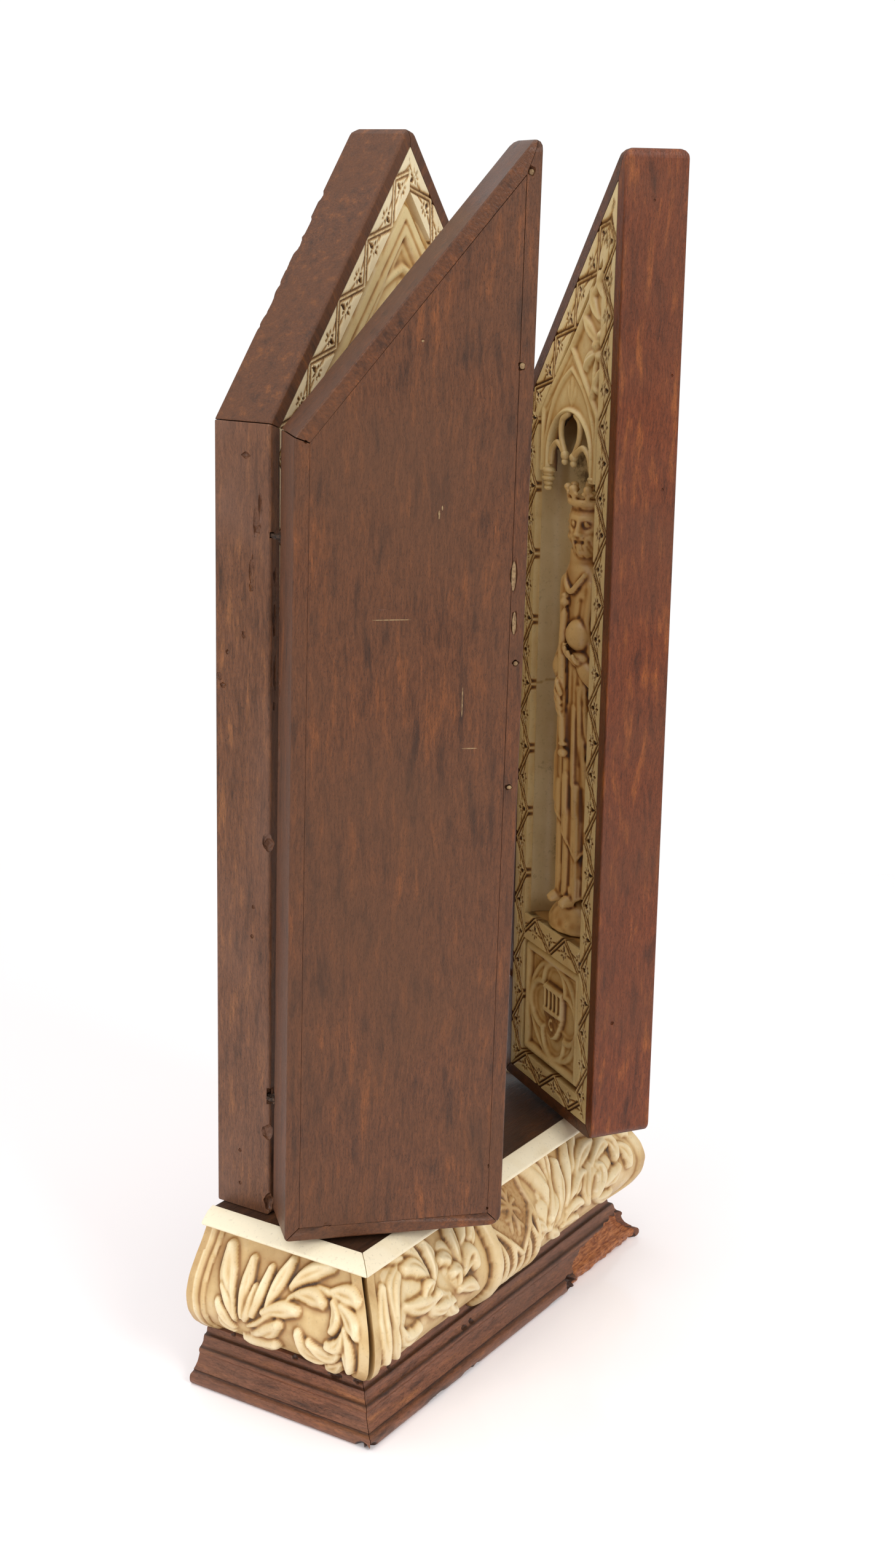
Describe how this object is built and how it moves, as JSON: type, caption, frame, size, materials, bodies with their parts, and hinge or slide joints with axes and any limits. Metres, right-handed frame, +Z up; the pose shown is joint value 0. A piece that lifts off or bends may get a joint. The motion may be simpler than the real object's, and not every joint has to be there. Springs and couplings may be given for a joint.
{
  "type": "triptych altarpiece",
  "caption": "Small standing triptych in walnut and carved bone: moulded base with leaf frieze, gabled case with niche and figure, and hinged half-gable wings.",
  "frame": {"origin": "middle of the base's underside, where it stands", "axes": "+Z up, -Y towards the front where the wings open, +X to the right of someone who faces the front"},
  "size_m": [0.2086, 0.1057, 0.4477],
  "materials": {
    "walnut": "worn wax polish",
    "walnut_dark": "worn wax polish, darkened",
    "walnut_red": "worn wax polish, reddish edge grain",
    "bone": "carved bone, yellowed, satin",
    "bone_shaded": "carved bone, stained, satin",
    "iron_wire": "dark, rusted"
  },
  "bodies": {
    "case": {"plinth_front": "walnut_dark", "plinth_left": "walnut_dark", "plinth_right": "walnut_dark", "base_bottom_board": "walnut", "base_back_board": "walnut_dark", "frieze_front": "bone", "frieze_left": "bone", "frieze_right": "bone", "band_front": "bone", "band_left": "bone", "band_right": "bone", "deck_board": "walnut_dark", "case_side_left": "walnut", "case_side_right": "walnut", "case_slope_left": "walnut", "case_slope_right": "walnut", "case_back_board": "walnut", "centre_border_frame": "bone", "centre_tracery": "bone", "centre_niche": "bone_shaded", "centre_figure": "bone", "centre_shelf": "bone", "centre_quatrefoil": "bone", "case_eye_upper_left": "iron_wire", "case_eye_lower_left": "iron_wire", "case_eye_upper_right": "iron_wire", "case_eye_lower_right": "iron_wire"},
    "left_wing": {"left_wing_hinge_stile": "walnut", "left_wing_meeting_stile": "walnut_red", "left_wing_slope_rail": "walnut", "left_wing_bottom_rail": "walnut_dark", "left_wing_panel": "walnut", "left_border_hinge": "bone", "left_border_meeting": "bone", "left_border_slope": "bone", "left_border_foot": "bone", "left_shelf_strip": "bone", "left_tracery": "bone", "left_niche": "bone_shaded", "left_figure": "bone", "left_quatrefoil": "bone", "wing_eye_upper_left": "iron_wire", "wing_eye_lower_left": "iron_wire"},
    "right_wing": {"right_wing_hinge_stile": "walnut", "right_wing_meeting_stile": "walnut_red", "right_wing_slope_rail": "walnut", "right_wing_bottom_rail": "walnut_dark", "right_wing_panel": "walnut", "right_border_hinge": "bone", "right_border_meeting": "bone", "right_border_slope": "bone", "right_border_foot": "bone", "right_shelf_strip": "bone", "right_tracery": "bone", "right_niche": "bone_shaded", "right_figure": "bone", "right_quatrefoil": "bone", "wing_eye_upper_right": "iron_wire", "wing_eye_lower_right": "iron_wire"}
  },
  "joints": [
    {"name": "left_wing_hinge", "type": "hinge", "parent": "case", "child": "left_wing", "pos_m": [-0.0811, 0.0176, 0.0687], "axis": [0, 0.0096, -1], "range_deg": [-43.9, 128]},
    {"name": "right_wing_hinge", "type": "hinge", "parent": "case", "child": "right_wing", "pos_m": [0.0811, 0.0176, 0.0687], "axis": [-0.0052, 0, 1], "range_deg": [-56.3, 108.7]}
  ]
}
